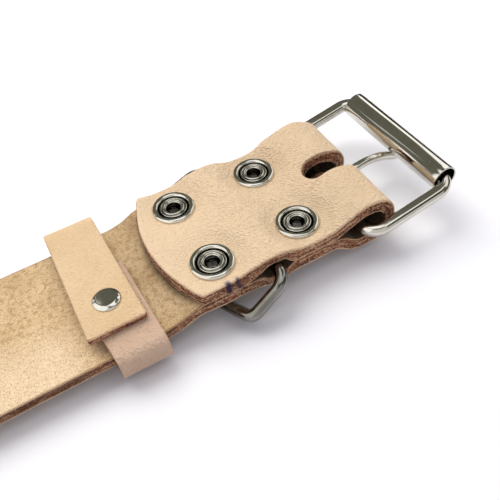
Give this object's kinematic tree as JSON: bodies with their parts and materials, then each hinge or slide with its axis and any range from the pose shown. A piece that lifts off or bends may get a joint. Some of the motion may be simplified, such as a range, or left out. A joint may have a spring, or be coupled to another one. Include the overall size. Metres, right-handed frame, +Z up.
{
  "type": "buckled leather collar",
  "caption": "Leather collar with a roller buckle in its folded end, a D-shaped ring between the layers, press studs that close the fold, a sliding keeper and a pointed tail with holes.",
  "frame": {"origin": "middle of the bounding box's bottom, on the surface the collar lies on, flesh side up", "axes": "+X along the strap from the tail towards the buckle, +Y across the strap, +Z up"},
  "size_m": [0.64, 0.0548, 0.0175],
  "materials": {
    "strap_leather": "natural grain, fibrous flesh side",
    "keeper_leather": "natural grain",
    "nickel": "polished nickel plate",
    "spring_wire": "drawn wire"
  },
  "bodies": {
    "collar": {"strap": "strap_leather", "snap_cap_1": "nickel", "snap_cap_2": "nickel", "snap_cap_3": "nickel", "snap_cap_4": "nickel", "snap_socket_1": "nickel", "snap_socket_2": "nickel", "snap_socket_3": "nickel", "snap_socket_4": "nickel", "snap_spring_1": "spring_wire", "snap_spring_2": "spring_wire", "snap_spring_3": "spring_wire", "snap_spring_4": "spring_wire", "snap_stud_1": "nickel", "snap_stud_2": "nickel", "snap_stud_3": "nickel", "snap_stud_4": "nickel", "snap_eyelet_1": "nickel", "snap_eyelet_2": "nickel", "snap_eyelet_3": "nickel", "snap_eyelet_4": "nickel"},
    "keeper": {"keeper_loop": "keeper_leather", "keeper_rivet_cap": "nickel", "keeper_rivet_base": "nickel"},
    "ring": {"d_ring": "nickel"},
    "buckle": {"buckle_frame": "nickel"},
    "roller": {"buckle_roller": "nickel"},
    "prong": {"buckle_prong": "nickel"}
  },
  "joints": [
    {"name": "keeper_slide", "type": "slide", "parent": "collar", "child": "keeper", "axis": [1, 0, 0], "range_m": [-0.15, 0]},
    {"name": "ring_swing", "type": "hinge", "parent": "collar", "child": "ring", "pos_m": [0.26253, 0, 0.0109], "axis": [0, -1, 0], "range_deg": [0, 115]},
    {"name": "buckle_hinge", "type": "hinge", "parent": "collar", "child": "buckle", "pos_m": [0.29003, 0, 0.00885], "axis": [0, -1, 0], "range_deg": [-35, 110]},
    {"name": "roller_spin", "type": "hinge", "parent": "buckle", "child": "roller", "pos_m": [0.3161, 0, 0.01359], "axis": [0, 1, 0], "continuous": true},
    {"name": "prong_hinge", "type": "hinge", "parent": "buckle", "child": "prong", "pos_m": [0.29003, 0, 0.00885], "axis": [0, 1, 0], "range_deg": [0, 90]}
  ]
}
